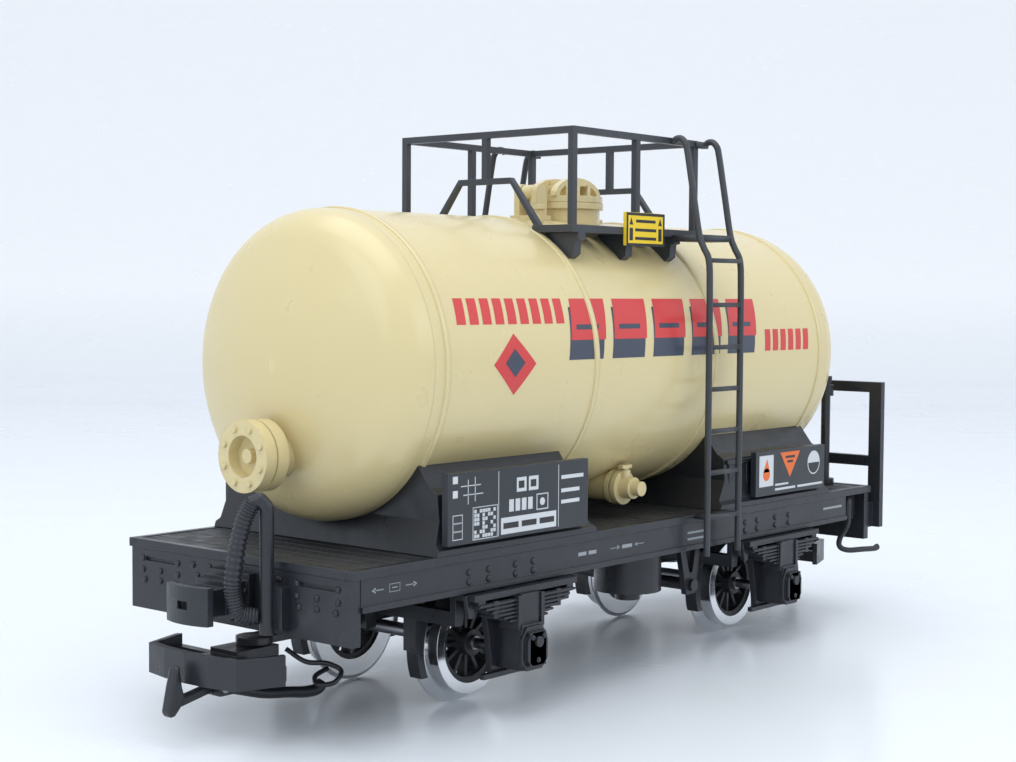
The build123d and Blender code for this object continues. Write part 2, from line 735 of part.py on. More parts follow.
save("tank_barrel", barrel())
save_ends("tank_head", head())
save_ends("end_flange", end_flange())
save("outlet_valves", [outlet_valve(), turned(outlet_valve())])
save("valve_handle_right", valve_handle())
save("valve_handle_left", turned(valve_handle()))
save("dome_neck", dome_neck())
save("hatch_lid", hatch_lid())
save("hatch_fittings", [hinge_tower(), hatch_latch(), relief_valve()])

brackets = [walkway_bracket(x) for x in (-28.0, -2.3, 21.3)]
save("walkways", [walkway(), turned(walkway())])
save("walkway_brackets", brackets + [across(bracket) for bracket in brackets])
save("side_rails", side_rail() + turned(side_rail()))
save("end_rails", end_rail() + turned(end_rail()))
save("ladder_right", ladder())
save("ladder_left", [across(part) for part in ladder()])
save("gangway_plates", [gangway_plate(), across(gangway_plate())])

save("platform_railing", platform_railing())
save("handbrake_column", handbrake_column())
save("handbrake_crank", handbrake_crank())

for end_name, placed in (("near", lambda shape: shape), ("far", turned)):
    save("truck_frame_" + end_name, placed(truck_frame()))
    side_gear = []
    for side in (-1, 1):
        side_gear.append(placed(axle_box(side)))
        side_gear.append(placed(leaf_spring(side)))
    save("side_gear_" + end_name, side_gear)
    shoes = [brake_shoe(end, side) for end in (-1, 1) for side in (-1, 1)]
    save("brake_shoes_" + end_name, [placed(shoe) for shoe in shoes])
    save("coupling_pin_" + end_name, placed(coupling_pin()))
    save("tyres_" + end_name, [placed(tyre(side)) for side in (-1, 1)])
    centres = [placed(wheel_centre(side)) for side in (-1, 1)]
    save("wheel_centres_" + end_name, centres)
    save("axle_" + end_name, placed(axle()))
    save("coupler_" + end_name, placed(coupler_shank() + coupler_bow()))
    save("coupler_hook_" + end_name, placed(coupler_hook()))
    save("hook_pin_" + end_name, placed(hook_pin()))
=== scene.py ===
import json
import math
import random

import bmesh
import bpy
from mathutils import Matrix, Vector


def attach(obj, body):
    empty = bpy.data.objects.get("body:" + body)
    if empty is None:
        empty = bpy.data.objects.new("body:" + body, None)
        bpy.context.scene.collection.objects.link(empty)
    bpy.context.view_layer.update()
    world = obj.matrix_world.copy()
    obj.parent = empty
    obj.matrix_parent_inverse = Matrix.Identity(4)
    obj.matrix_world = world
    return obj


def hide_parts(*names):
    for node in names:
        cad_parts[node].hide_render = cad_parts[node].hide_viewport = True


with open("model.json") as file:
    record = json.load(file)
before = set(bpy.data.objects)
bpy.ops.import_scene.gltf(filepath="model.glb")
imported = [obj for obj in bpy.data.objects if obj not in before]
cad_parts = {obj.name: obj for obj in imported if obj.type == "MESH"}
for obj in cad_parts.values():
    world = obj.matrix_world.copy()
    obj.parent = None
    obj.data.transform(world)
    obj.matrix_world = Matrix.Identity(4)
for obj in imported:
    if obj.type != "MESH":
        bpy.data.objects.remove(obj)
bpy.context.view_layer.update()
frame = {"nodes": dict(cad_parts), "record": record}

MM = 0.001


def span(name):
    """Lowest and highest corner of a CAD piece, in millimetres."""
    node = frame["nodes"][name]
    corners = [node.matrix_world @ Vector(corner) for corner in node.bound_box]
    low = [round(min(corner[axis] for corner in corners) / MM, 2) for axis in range(3)]
    high = [round(max(corner[axis] for corner in corners) / MM, 2) for axis in range(3)]
    return low, high


# ---- sizes read from the frame, in millimetres ----
head_low, head_high = span("tank_head_near")
TANK_RADIUS = round((head_high[2] - head_low[2]) / 2, 2)
TANK_Z = round((head_high[2] + head_low[2]) / 2, 2)
DECK_HALF_LENGTH, DECK_HALF_WIDTH, DECK_TOP = span("deck")[1]
DECK_BOTTOM = span("deck")[0][2]
BOARD_FACE = span("sign_boards_long")[0][1]
PLATE_FACE = span("gangway_plates")[0][1]
SOLEBAR_FLANGE = 0.6     # how far the bottom flange stands out from the web
SOLEBAR_FACE = round(span("solebar_right")[0][1] + SOLEBAR_FLANGE, 2)
HEADSTOCK_FACE = span("headstock_far")[1][0]
pin_low, pin_high = span("hook_pin_near")
HOOK_PIN_X = round((pin_low[0] + pin_high[0]) / 2, 2)
HOOK_PIN_Z = round((pin_low[2] + pin_high[2]) / 2, 2)
axle_low, axle_high = span("axle_far")
AXLE_X = round((axle_low[0] + axle_high[0]) / 2, 2)
stile_low, stile_high = span("ladder_right")
STILE_WIDTH = 2.0
STILE_XS = (round(stile_low[0] + STILE_WIDTH / 2, 2), round(stile_high[0] - STILE_WIDTH / 2, 2))

# ---- sizes that repeat in several pieces, in millimetres ----
RUNG_HEIGHTS = (46.8, 60.9, 74.0, 87.2, 100.4, 113.7, 127.6)
SEAM_CENTRES = (-96.3, -31.5, 31.5, 96.3)
SOLEBAR_RIVET_XS = (-88.4, -80.3, -69.0, -61.3, 48.4, 55.8, 67.0, 75.6)
PIPE_X = -136.0
PIPE_Y = -17.0
PIPE_TOPS = {"near": 63.6, "far": 52.0}
PRINT_LIFT = 0.06        # a print's thickness outside its face
PRINT_SINK = 0.02        # and inside it
OVERPRINT = 0.05         # how far a second colour stands in front of the first

# each name, and whether its piece is the turned or mirrored copy of the first
SIDES = (("right", False), ("left", True))
ENDS = (("near", False), ("far", True))


# ---- camera ----
def make_camera():
    """View of the near end and right side, with its slight roll."""
    azimuth = math.radians(-49.65)
    elevation = math.radians(2.953)
    roll = math.radians(0.364)
    place = (-0.4294, -0.3474, 0.1171)
    right = Vector((math.cos(azimuth), math.sin(azimuth), 0.0))
    back = Vector((math.sin(azimuth) * math.cos(elevation),
                   -math.cos(azimuth) * math.cos(elevation), math.sin(elevation)))
    up = back.cross(right)
    right_rolled = right * math.cos(roll) + up * math.sin(roll)
    up_rolled = up * math.cos(roll) - right * math.sin(roll)
    data = bpy.data.cameras.new("photo_camera")
    data.lens = 60.60
    data.sensor_width = 36.0
    data.sensor_fit = "HORIZONTAL"
    data.clip_start = 0.01
    data.clip_end = 20.0
    camera = bpy.data.objects.new("photo_camera", data)
    bpy.context.scene.collection.objects.link(camera)
    turn = Matrix((right_rolled, up_rolled, back)).transposed().to_4x4()
    camera.matrix_world = Matrix.Translation(place) @ turn
    bpy.context.scene.camera = camera


# ---- material helpers ----
def noise(nodes, links, coords, scale, detail=3.0, rough=0.5):
    """Noise value at the given coordinates."""
    node = nodes.new("ShaderNodeTexNoise")
    node.inputs["Scale"].default_value = scale
    node.inputs["Detail"].default_value = detail
    node.inputs["Roughness"].default_value = rough
    links.new(coords, node.inputs["Vector"])
    return node.outputs["Fac"]


def ramp(nodes, links, source, low, high, low_colour, high_colour):
    """Blend from one colour to the other while the source goes from low to high."""
    node = nodes.new("ShaderNodeValToRGB")
    node.color_ramp.elements[0].position = low
    node.color_ramp.elements[0].color = low_colour
    node.color_ramp.elements[1].position = high
    node.color_ramp.elements[1].color = high_colour
    links.new(source, node.inputs["Fac"])
    return node.outputs["Color"]


def mix_colour(nodes, links, factor, first, second, blend="MIX"):
    """Mix two colours; each input is a constant or another node's output."""
    node = nodes.new("ShaderNodeMix")
    node.data_type = "RGBA"
    node.blend_type = blend
    if isinstance(factor, float):
        node.inputs["Factor"].default_value = factor
    else:
        links.new(factor, node.inputs["Factor"])
    colour_inputs = [socket for socket in node.inputs if socket.type == "RGBA"]
    for socket, value in zip(colour_inputs, (first, second)):
        if isinstance(value, tuple):
            socket.default_value = value
        else:
            links.new(value, socket)
    return [socket for socket in node.outputs if socket.type == "RGBA"][0]


def grey(value):
    """Opaque grey of one brightness."""
    return (value, value, value, 1.0)


def add_specks(nodes, links, coords, tone, specks):
    """Small marks where a noise passes a level."""
    scale, level, colour = specks
    spots = noise(nodes, links, coords, scale, 2.0)
    mask = ramp(nodes, links, spots, level, level + 0.012, grey(0.0), grey(1.0))
    return mix_colour(nodes, links, mask, tone, colour + (1.0,))


def add_painted_edge_highlight(nodes, links, rounded, tone, colour):
    """Painted edge highlight: another, lighter colour where the rounded normal leaves the flat
    one.
    """
    geometry = nodes.new("ShaderNodeNewGeometry")
    facing = nodes.new("ShaderNodeVectorMath")
    facing.operation = "DOT_PRODUCT"
    links.new(rounded, facing.inputs[0])
    links.new(geometry.outputs["Normal"], facing.inputs[1])
    # painted highlight: the lighter colour is mixed in along edges, where the rounded normal
    # turns from the flat one
    highlight_mask = ramp(nodes, links, facing.outputs["Value"], 0.86, 0.99, grey(0.55), grey(0.0))
    return mix_colour(nodes, links, highlight_mask, tone, colour + (1.0,))


def surface(name, colour, rough=(0.35, 0.5), variation=0.12, grain=900.0, bump=0.15,
            edge_highlight=None, edge_radius=0.0003, metallic=0.0, coat=0.0, specks=None, soft=0.0):
    """Moulded or painted surface with mottling, roughness change, fine grain and a painted
    highlight on rounded edges.
    """
    material = bpy.data.materials.new(name)
    material.use_nodes = True
    nodes = material.node_tree.nodes
    links = material.node_tree.links
    shader = nodes["Principled BSDF"]
    coords = nodes.new("ShaderNodeTexCoord").outputs["Object"]
    base = colour + (1.0,)
    dark = tuple(c * (1.0 - variation) for c in colour) + (1.0,)
    light = tuple(min(1.0, c * (1.0 + variation)) for c in colour) + (1.0,)
    broad = noise(nodes, links, coords, 35.0, 4.0)
    tone = ramp(nodes, links, broad, 0.35, 0.65, dark, light)
    tone = mix_colour(nodes, links, 0.5, tone, base)
    if specks:
        tone = add_specks(nodes, links, coords, tone, specks)
    bevel = nodes.new("ShaderNodeBevel")
    bevel.samples = 4
    bevel.inputs["Radius"].default_value = edge_radius
    # painted edge highlight: a lighter colour along rounded edges
    if edge_highlight:
        tone = add_painted_edge_highlight(nodes, links, bevel.outputs["Normal"], tone, edge_highlight)
    links.new(tone, shader.inputs["Base Color"])
    fine = noise(nodes, links, coords, grain * 0.25, 3.0)
    rough_tone = ramp(nodes, links, fine, 0.3, 0.7, grey(rough[0]), grey(rough[1]))
    links.new(rough_tone, shader.inputs["Roughness"])
    shader.inputs["Metallic"].default_value = metallic
    shader.inputs["Coat Weight"].default_value = coat
    shader.inputs["Coat Roughness"].default_value = 0.2
    if soft:
        shader.inputs["Subsurface Weight"].default_value = soft
        shader.inputs["Subsurface Scale"].default_value = 0.001
    relief = nodes.new("ShaderNodeBump")
    relief.inputs["Strength"].default_value = bump
    relief.inputs["Distance"].default_value = 0.00008
    links.new(noise(nodes, links, coords, grain, 2.0), relief.inputs["Height"])
    links.new(bevel.outputs["Normal"], relief.inputs["Normal"])
    links.new(relief.outputs["Normal"], shader.inputs["Normal"])
    return material


def plank_material():
    """Weathered boards, grained along Y."""
    material = surface("deck_boards", (0.026, 0.027, 0.031), rough=(0.42, 0.7), variation=0.3,
                       bump=0.3, edge_highlight=(0.075, 0.078, 0.085))
    nodes = material.node_tree.nodes
    links = material.node_tree.links
    shader = nodes["Principled BSDF"]
    coords = nodes.new("ShaderNodeTexCoord").outputs["Object"]
    stretch = nodes.new("ShaderNodeMapping")
    stretch.inputs["Scale"].default_value = (900.0, 40.0, 900.0)
    links.new(coords, stretch.inputs["Vector"])
    streaks = noise(nodes, links, stretch.outputs["Vector"], 1.0, 4.0, 0.6)
    old = shader.inputs["Base Color"].links[0].from_socket
    grain = ramp(nodes, links, streaks, 0.3, 0.7, grey(0.55), grey(1.35))
    links.new(mix_colour(nodes, links, 0.8, old, grain, "MULTIPLY"), shader.inputs["Base Color"])
    return material


# ---- materials ----
tank_paint = surface("tank_cream", (0.690, 0.575, 0.300), rough=(0.27, 0.31),
                     variation=0.01, grain=300.0, bump=0.0, coat=0.35, edge_radius=0.0004,
                     specks=(130.0, 0.83, (0.36, 0.27, 0.14)), soft=0.05)
frame_black = surface("frame_black", (0.017, 0.019, 0.024), rough=(0.27, 0.42), variation=0.25,
                      bump=0.2, edge_highlight=(0.075, 0.082, 0.10))
gangway_grey = surface("gangway_grey", (0.038, 0.042, 0.050), rough=(0.34, 0.48), variation=0.2,
                       bump=0.2, edge_highlight=(0.12, 0.125, 0.14))
board_dark = surface("board_dark", (0.022, 0.025, 0.032), rough=(0.3, 0.42), variation=0.15,
                     bump=0.2, edge_highlight=(0.09, 0.095, 0.11))
plate_yellow = surface("plate_yellow", (0.86, 0.60, 0.02), rough=(0.3, 0.42), variation=0.05,
                       bump=0.1, edge_highlight=(0.9, 0.72, 0.2))
hose_black = surface("hose_black", (0.018, 0.020, 0.026), rough=(0.36, 0.52), variation=0.25,
                     bump=0.3)
wheel_steel = surface("wheel_steel", (0.78, 0.79, 0.81), rough=(0.10, 0.22), variation=0.06,
                      grain=500.0, bump=0.08, metallic=1.0, edge_highlight=(0.9, 0.9, 0.92))
pin_steel = surface("pin_steel", (0.30, 0.30, 0.32), rough=(0.28, 0.42), variation=0.1,
                    bump=0.1, metallic=1.0)
wheel_black = surface("wheel_black", (0.018, 0.019, 0.022), rough=(0.4, 0.55), variation=0.2,
                      bump=0.2, edge_highlight=(0.06, 0.06, 0.07))
deck_boards = plank_material()
print_white = surface("print_white", (0.62, 0.64, 0.66), rough=(0.4, 0.5), variation=0.08)
print_grey = surface("print_grey", (0.30, 0.32, 0.34), rough=(0.4, 0.5), variation=0.08)
print_red = surface("print_red", (0.62, 0.035, 0.035), rough=(0.28, 0.36), variation=0.06,
                    grain=1500.0, bump=0.05, coat=0.2)
print_blue = surface("print_blue", (0.035, 0.045, 0.075), rough=(0.28, 0.36), variation=0.1,
                     grain=1500.0, bump=0.05, coat=0.2)
print_orange = surface("print_orange", (0.80, 0.16, 0.03), rough=(0.4, 0.5), variation=0.06)
print_black = surface("print_black", (0.02, 0.02, 0.022), rough=(0.4, 0.5), variation=0.1)

NODE_MATERIALS = {
    "tank_paint": tank_paint,
    "frame_black": frame_black,
    "gangway_grey": gangway_grey,
    "board_dark": board_dark,
    "plate_yellow": plate_yellow,
    "hose_black": hose_black,
    "wheel_steel": wheel_steel,
    "pin_steel": pin_steel,
}


def paint_nodes():
    """Give each CAD piece the material of its slot."""
    slots = {part["node"]: part["material_slot"] for part in frame["record"]["subparts"]}
    for name, node in frame["nodes"].items():
        material = NODE_MATERIALS[slots[name]]
        if name.startswith("wheel_centres"):
            material = wheel_black
        node.data.materials.clear()
        node.data.materials.append(material)


# ---- mesh helpers: every shape is drawn in millimetres ----
def skin(bm, rows, closed):
    """Faces between neighbouring rows of vertices; closed rows join end to end."""
    count = len(rows[0])
    for lower, upper in zip(rows, rows[1:]):
        for i in range(count if closed else count - 1):
            j = (i + 1) % count
            bm.faces.new((lower[i], lower[j], upper[j], upper[i]))


def add_box(bm, x0, x1, y0, y1, z0, z1):
    """Box between two corners given in any order."""
    corners = [bm.verts.new((x, y, z)) for x in (min(x0, x1), max(x0, x1))
               for y in (min(y0, y1), max(y0, y1)) for z in (min(z0, z1), max(z0, z1))]
    for ids in ((0, 1, 3, 2), (4, 6, 7, 5), (0, 4, 5, 1), (2, 3, 7, 6), (0, 2, 6, 4),
                (1, 5, 7, 3)):
        bm.faces.new([corners[i] for i in ids])


def add_prism_y(bm, points, y0, y1):
    """Solid with an XZ outline between two Y values."""
    front = [bm.verts.new((x, y0, z)) for x, z in points]
    rear = [bm.verts.new((x, y1, z)) for x, z in points]
    bm.faces.new(front)
    bm.faces.new(list(reversed(rear)))
    skin(bm, (front, rear), closed=True)


def add_prism_z(bm, points, z0, z1):
    """Solid with an XY outline between two Z values."""
    lower = [bm.verts.new((x, y, z0)) for x, y in points]
    upper = [bm.verts.new((x, y, z1)) for x, y in points]
    bm.faces.new(lower)
    bm.faces.new(upper)
    skin(bm, (lower, upper), closed=True)


def add_dome(bm, centre, normal, radius, height):
    """Rivet head: a flattened half ball on a face."""
    axis = Vector(normal)
    side = axis.orthogonal().normalized()
    other = axis.cross(side)
    sides = 12
    rings = []
    for level in (0.0, 0.35, 0.7, 0.92):
        ring = []
        size = radius * math.sqrt(1.0 - level * level)
        for i in range(sides):
            angle = math.tau * i / sides
            point = Vector(centre) + axis * height * level
            point += (side * math.cos(angle) + other * math.sin(angle)) * size
            ring.append(bm.verts.new(point))
        rings.append(ring)
    skin(bm, rings, closed=True)
    bm.faces.new(rings[-1])
    bm.faces.new(list(reversed(rings[0])))


def add_tube(bm, points, radii, sides=14):
    """Skin round a line of points, with a radius at each."""
    rings = []
    count = len(points)
    reference = Vector((0.3, 1.0, 0.1)).normalized()
    for k, point in enumerate(points):
        ahead = points[min(k + 1, count - 1)] - points[max(k - 1, 0)]
        ahead.normalize()
        side = (reference - ahead * reference.dot(ahead)).normalized()
        other = ahead.cross(side)
        ring = []
        for i in range(sides):
            angle = math.tau * i / sides
            offset = side * math.cos(angle) + other * math.sin(angle)
            ring.append(bm.verts.new(point + offset * radii[k]))
        rings.append(ring)
    skin(bm, rings, closed=True)
    bm.faces.new(list(reversed(rings[0])))
    bm.faces.new(rings[-1])


def smooth_line(knots, steps):
    """Points along a smooth curve through the knots."""
    knots = [Vector(k) for k in knots]
    padded = [knots[0] * 2 - knots[1]] + knots + [knots[-1] * 2 - knots[-2]]
    line = []
    for i in range(1, len(padded) - 2):
        a, b, c, d = padded[i - 1:i + 3]
        for s in range(steps):
            t = s / steps
            line.append(0.5 * (2 * b + (c - a) * t + (2 * a - 5 * b + 4 * c - d) * t * t
                               + (3 * b - a - 3 * c + d) * t ** 3))
    line.append(knots[-1])
    return line


def piece(name, bm, material, body, bevel=0.0, smooth=False, turned=False,
          mirrored=False):
    """Store a drawn shape as one object of the wagon: as drawn, turned half round or mirrored."""
    for vert in bm.verts:
        if turned:
            vert.co.x = -vert.co.x
        if turned or mirrored:
            vert.co.y = -vert.co.y
    bmesh.ops.recalc_face_normals(bm, faces=bm.faces)
    mesh = bpy.data.meshes.new(name)
    bm.to_mesh(mesh)
    bm.free()
    mesh.transform(Matrix.Scale(MM, 4))
    mesh.materials.append(material)
    if smooth:
        for polygon in mesh.polygons:
            polygon.use_smooth = True
    item = bpy.data.objects.new(name, mesh)
    bpy.context.scene.collection.objects.link(item)
    if bevel:
        rounding = item.modifiers.new("rounding", "BEVEL")
        rounding.width = bevel * MM
        rounding.segments = 2
        rounding.limit_method = "ANGLE"
    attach(item, body)
    return item


# ---- frame details ----
def make_deck():
    """Rim and separate planks in place of the plain deck."""
    rim = 2.4
    pitch = 5.2
    gap = 0.4
    inner_length = DECK_HALF_LENGTH - rim
    inner_width = DECK_HALF_WIDTH - rim
    bm = bmesh.new()
    for side in (-1, 1):
        add_box(bm, -DECK_HALF_LENGTH, DECK_HALF_LENGTH, side * inner_width,
                side * DECK_HALF_WIDTH, DECK_BOTTOM, DECK_TOP)
    for side in (-1, 1):
        add_box(bm, side * DECK_HALF_LENGTH, side * inner_length, -inner_width, inner_width,
                DECK_BOTTOM, DECK_TOP)
    rim_piece = piece("deck_rim", bm, frame_black, "chassis", bevel=0.25)
    bm = bmesh.new()
    random.seed(4)
    count = int(2 * inner_length // pitch)
    start = -count * pitch / 2
    add_box(bm, -inner_length, inner_length, -inner_width, inner_width, DECK_BOTTOM,
            DECK_TOP - 0.8)
    for i in range(count):
        x = start + i * pitch
        top = DECK_TOP - 0.15 - random.uniform(0.0, 0.12)
        add_box(bm, x + gap / 2, x + pitch - gap / 2, -inner_width + 0.3, inner_width - 0.3,
                DECK_TOP - 0.9, top)
    piece("deck_planks", bm, deck_boards, "chassis", bevel=0.15)
    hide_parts("deck")


def soften_nodes():
    """Small moulded radii on the boldest CAD pieces."""
    for name in ("coupler_near", "coupler_far", "saddle_near", "saddle_far"):
        rounding = frame["nodes"][name].modifiers.new("rounding", "BEVEL")
        rounding.width = 0.35 * MM
        rounding.segments = 2
        rounding.limit_method = "ANGLE"
        rounding.angle_limit = math.radians(40)


def add_axle_box_cover(bm, centre, side):
    """Two hexagonal plates, the outer one smaller, on the face of an axle box."""
    hexagon = [(-5.4, 15.4), (-5.4, 22.4), (-3.2, 25.4), (3.2, 25.4), (5.4, 22.4), (5.4, 15.4),
               (3.2, 13.2), (-3.2, 13.2)]
    middle = 19.3
    for scale, y0, y1 in ((1.0, 49.6, 50.8), (0.78, 50.8, 52.0)):
        outline = [(centre + x * scale, middle + (z - middle) * scale) for x, z in hexagon]
        add_prism_y(bm, outline, side * y0, side * y1)


def add_spring_details(bm, centre, side):
    """Lips of the spring leaves, the clamps round them and the hangers at both ends."""
    leaf_pitch = 1.1
    for i in range(6):
        half = 20.6 - 2.5 * i
        top = 33.4 - leaf_pitch * i
        add_box(bm, centre - half, centre + half, side * 42.8, side * 48.8, top - 0.7, top)
    for way in (-1, 1):
        clamp = centre + way * 4.9
        add_box(bm, clamp - 0.7, clamp + 0.7, side * 42.6, side * 49.6, 24.8, 34.2)
        band = centre + way * 13.5
        add_box(bm, band - 0.9, band + 0.9, side * 42.7, side * 48.4, 29.0, 33.8)
        hanger = centre + way * 20.5
        outline = [(hanger - 2.4, 36.0), (hanger + 2.4, 36.0), (hanger + 0.9, 29.6),
                   (hanger - 0.9, 29.6)]
        add_prism_y(bm, outline, side * 44.2, side * 45.6)


def make_side_gear_details():
    """Axle box covers with their bolts, and spring details, on both sides of each truck."""
    for end, centre in (("near", -AXLE_X), ("far", AXLE_X)):
        plates = bmesh.new()
        bolts = bmesh.new()
        for side in (-1, 1):
            add_axle_box_cover(plates, centre, side)
            add_spring_details(plates, centre, side)
            for x, z in ((-2.4, 22.6), (2.4, 22.6), (0.0, 16.2)):
                add_dome(bolts, (centre + x, side * 52.0, z), (0, side, 0), 0.85, 0.6)
        piece("side_gear_details_" + end, plates, frame_black, "truck_" + end,
              bevel=0.2)
        piece("axle_box_bolts_" + end, bolts, frame_black, "truck_" + end,
              smooth=True)


def make_saddle_ribs():
    """Upright ribs under a ledge, on both sides of each saddle."""
    rib_bottom = 50.4
    rib_top = 63.0
    for end, turned in ENDS:
        bm = bmesh.new()
        for side in (-1, 1):
            add_box(bm, -96.0, -39.5, side * 42.2, side * 43.2, rib_top - 1.4, rib_top)
            for i in range(6):
                x = -93.5 + 10.4 * i
                add_box(bm, x - 0.7, x + 0.7, side * 40.0, side * 42.9, rib_bottom, rib_top)
        piece("saddle_ribs_" + end, bm, frame_black, "chassis", bevel=0.2,
              turned=turned)


def make_ladders():
    """Stiles bent in smooth curves, hooked over and joined to the handrail."""
    stile_knots = [(-49.5, 34.7), (-49.5, 52.0), (-49.5, 90.0), (-49.45, 118.0),
                   (-49.0, 127.5), (-47.0, 131.6), (-45.2, 136.0), (-42.8, 149.0),
                   (-40.5, 161.5), (-39.6, 164.4), (-38.0, 165.9), (-36.2, 165.9),
                   (-35.0, 164.9)]
    x0 = STILE_XS[0] + 0.4
    x1 = STILE_XS[1] - 0.4
    for side, mirrored in SIDES:
        bm = bmesh.new()
        for x in STILE_XS:
            line = smooth_line([(x, y, z) for y, z in stile_knots], 8)
            add_tube(bm, line, [1.05] * len(line), 12)
        for z in RUNG_HEIGHTS:
            back = -45.0 if z == RUNG_HEIGHTS[0] else -48.7
            add_box(bm, x0, x1, -50.2, back, z - 0.7, z + 0.7)
        # landing beside the walkway, and the link from the handrail to the outer stile
        add_box(bm, x0, x1, -46.2, -35.0, 133.7, 135.7)
        add_box(bm, 31.0, 36.6, -36.0, -34.0, 164.0, 166.0)
        ladder = piece("ladder_bent_" + side, bm, gangway_grey, "chassis",
                       mirrored=mirrored, smooth=True)
        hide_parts("ladder_" + side)


def add_half_ring(bm, start, outer_radius, inner_radius, half_width):
    """Half of the hook's eye, round the hook pin."""
    angles = [start + math.pi * i / 12 for i in range(13)]
    outer = [(HOOK_PIN_X + outer_radius * math.cos(a), HOOK_PIN_Z + outer_radius * math.sin(a))
             for a in angles]
    inner = [(HOOK_PIN_X + inner_radius * math.cos(a), HOOK_PIN_Z + inner_radius * math.sin(a))
             for a in reversed(angles)]
    add_prism_y(bm, outer + inner, -half_width, half_width)


def make_hooks():
    """Rounded horn and arm in front of each coupler, the eye and the bent tail."""
    arm_half_width = 1.2
    horn_outline = [(-151.8, 20.9), (-153.0, 20.2), (-154.3, 15.0), (-155.6, 9.0),
                    (-155.0, 7.6), (-153.4, 7.6), (-151.6, 9.6), (-150.4, 11.2),
                    (-150.2, 12.6), (-151.0, 15.0)]
    arm_outline = [(-151.2, 9.6), (-151.2, 12.4), (-140.7, 14.3), (-140.7, 11.7)]
    tail_knots = [(-137.2, 0.0, 12.2), (-132.0, 0.0, 11.0), (-122.0, 0.0, 8.2),
                  (-113.0, 0.0, 6.9), (-107.0, 0.0, 5.9), (-102.4, 0.0, 5.9),
                  (-100.4, 0.0, 7.4)]
    for end, turned in ENDS:
        body = "hook_" + end
        bm = bmesh.new()
        add_prism_y(bm, horn_outline, -1.7, 1.7)
        add_prism_y(bm, arm_outline, -arm_half_width, arm_half_width)
        hook = piece("hook_horn_" + end, bm, frame_black, body, bevel=0.9,
                     turned=turned)
        bm = bmesh.new()
        for start in (0.0, math.pi):
            add_half_ring(bm, start, 2.4, 1.4, arm_half_width)
        piece("hook_eye_" + end, bm, frame_black, body, turned=turned)
        line = smooth_line(tail_knots, 6)
        bm = bmesh.new()
        add_tube(bm, line, [1.3 + 0.5 * i / len(line) for i in range(len(line))], 14)
        piece("hook_tail_" + end, bm, frame_black, body, smooth=True,
              turned=turned)
        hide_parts("coupler_hook_" + end)


def add_buffer_face(bm, y0, y1, z0, z1):
    """Part of the buffer's face, curved back towards its sides."""
    half_width = 8.2
    thickness = 2.0
    steps = [y0 + (y1 - y0) * i / 10 for i in range(11)]
    front = [(-149.95 + 1.6 * (y / half_width) ** 2, y) for y in steps]
    back = [(x + thickness, y) for x, y in reversed(front)]
    add_prism_z(bm, front + back, z0, z1)


def make_buffers():
    """Curved buffer faces with a slot, on bolted shank blocks."""
    slot_bottom = 34.9
    slot_top = 37.1
    for end, turned in ENDS:
        bm = bmesh.new()
        add_buffer_face(bm, -8.2, 8.2, 31.0, slot_bottom)
        add_buffer_face(bm, -8.2, 8.2, slot_top, 41.0)
        add_buffer_face(bm, -8.2, -2.0, slot_bottom, slot_top)
        add_buffer_face(bm, 2.0, 8.2, slot_bottom, slot_top)
        add_box(bm, -148.2, -147.0, -3.0, 3.0, 33.0, 39.0)
        add_box(bm, -147.2, -138.5, -5.0, 5.0, 32.6, 39.6)
        add_box(bm, -139.5, -HEADSTOCK_FACE, -7.0, 7.0, 31.2, 41.2)
        add_box(bm, -134.2, -HEADSTOCK_FACE, -8.0, 8.0, 29.4, 43.0)
        piece("buffer_curved_" + end, bm, frame_black, "chassis",
                          turned=turned)
        bm = bmesh.new()
        for side in (-1, 1):
            for z in (34.0, 38.6):
                for x in (-137.4, -134.6):
                    add_dome(bm, (x, side * 7.0, z), (0, side, 0), 0.8, 0.5)
        piece("buffer_bolts_" + end, bm, frame_black, "chassis", smooth=True,
              turned=turned)
    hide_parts("buffers")


def make_seams():
    """Rounded weld bands round the tank."""
    sides = 160
    profile = [(-1.3, -0.05), (-0.9, 0.25), (-0.3, 0.62), (0.3, 0.62), (0.9, 0.25),
               (1.3, -0.05)]
    angles = [math.tau * i / sides for i in range(sides)]
    bm = bmesh.new()
    for centre in SEAM_CENTRES:
        rings = []
        for along, lift in profile:
            radius = TANK_RADIUS + lift
            rings.append([bm.verts.new((centre + along, radius * math.cos(a),
                                        TANK_Z + radius * math.sin(a))) for a in angles])
        skin(bm, rings, closed=True)
    piece("tank_seams", bm, tank_paint, "chassis", smooth=True)


def make_steps():
    """Bent wire steps under the platform, each on a small block."""
    knots = [(122.0, -41.5, 44.0), (122.0, -41.5, 34.5), (122.0, -38.4, 28.6),
             (122.2, -38.2, 25.4), (124.5, -40.2, 24.0), (130.0, -43.0, 24.0),
             (136.4, -45.4, 24.0), (137.0, -44.8, 25.0)]
    line = smooth_line(knots, 6)
    for side, mirrored in SIDES:
        bm = bmesh.new()
        add_tube(bm, line, [1.0] * len(line), 10)
        add_box(bm, 120.0, 124.0, -42.6, -40.4, 36.0, DECK_BOTTOM)
        piece("step_wire_" + side, bm, frame_black, "chassis",
                          mirrored=mirrored, smooth=True)
    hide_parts("steps")


